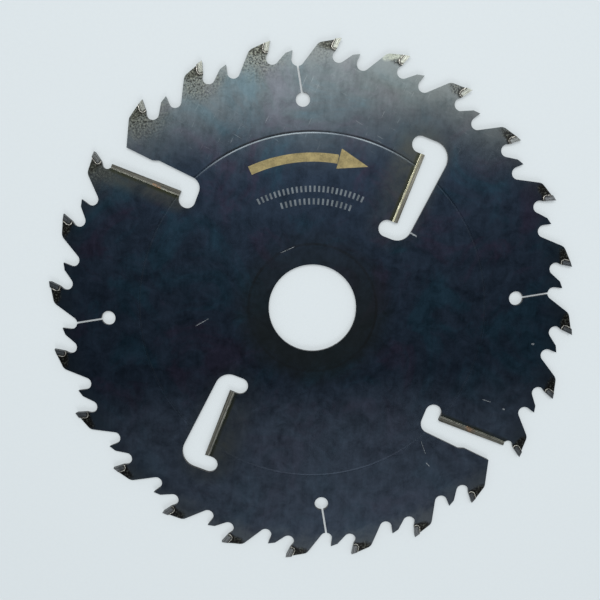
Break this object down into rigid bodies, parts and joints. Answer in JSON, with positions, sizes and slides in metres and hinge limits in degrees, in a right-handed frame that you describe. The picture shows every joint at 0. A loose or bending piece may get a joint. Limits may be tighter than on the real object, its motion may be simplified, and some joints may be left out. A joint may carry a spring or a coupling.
{
  "type": "circular saw blade",
  "caption": "Flat ripping saw blade: steel disc with a plain centre bore, hooked carbide teeth, small limiter teeth, keyhole slots and slanted raker slots edged with carbide strips.",
  "frame": {"origin": "centre of the bore at the middle of the plate's thickness", "axes": "+Z along the bore axis, out of the front face; the blade cuts clockwise seen from +Z; +Y through the centre of one keyhole expansion slot"},
  "size_m": [0.2982, 0.2982, 0.0036],
  "materials": {
    "blued_steel": "satin blued and blackened tool steel, faintly mottled",
    "carbide": "ground tungsten carbide, fine grinding lines",
    "silver_braze": "pale gold silver-solder braze, half bright"
  },
  "bodies": {
    "root": {"blade_plate": "blued_steel", "tip_01": "carbide", "tip_02": "carbide", "tip_03": "carbide", "tip_04": "carbide", "tip_05": "carbide", "tip_06": "carbide", "tip_07": "carbide", "tip_08": "carbide", "tip_09": "carbide", "tip_10": "carbide", "tip_11": "carbide", "tip_12": "carbide", "tip_13": "carbide", "tip_14": "carbide", "tip_15": "carbide", "tip_16": "carbide", "tip_17": "carbide", "tip_18": "carbide", "tip_19": "carbide", "tip_20": "carbide", "tip_21": "carbide", "tip_22": "carbide", "tip_23": "carbide", "tip_24": "carbide", "tip_braze_01": "silver_braze", "tip_braze_02": "silver_braze", "tip_braze_03": "silver_braze", "tip_braze_04": "silver_braze", "tip_braze_05": "silver_braze", "tip_braze_06": "silver_braze", "tip_braze_07": "silver_braze", "tip_braze_08": "silver_braze", "tip_braze_09": "silver_braze", "tip_braze_10": "silver_braze", "tip_braze_11": "silver_braze", "tip_braze_12": "silver_braze", "tip_braze_13": "silver_braze", "tip_braze_14": "silver_braze", "tip_braze_15": "silver_braze", "tip_braze_16": "silver_braze", "tip_braze_17": "silver_braze", "tip_braze_18": "silver_braze", "tip_braze_19": "silver_braze", "tip_braze_20": "silver_braze", "tip_braze_21": "silver_braze", "tip_braze_22": "silver_braze", "tip_braze_23": "silver_braze", "tip_braze_24": "silver_braze", "inner_raker_strip_1": "carbide", "inner_raker_braze_1": "silver_braze", "inner_raker_strip_2": "carbide", "inner_raker_braze_2": "silver_braze", "outer_raker_strip_1": "carbide", "outer_raker_braze_1": "silver_braze", "outer_raker_strip_2": "carbide", "outer_raker_braze_2": "silver_braze"}
  },
  "joints": []
}
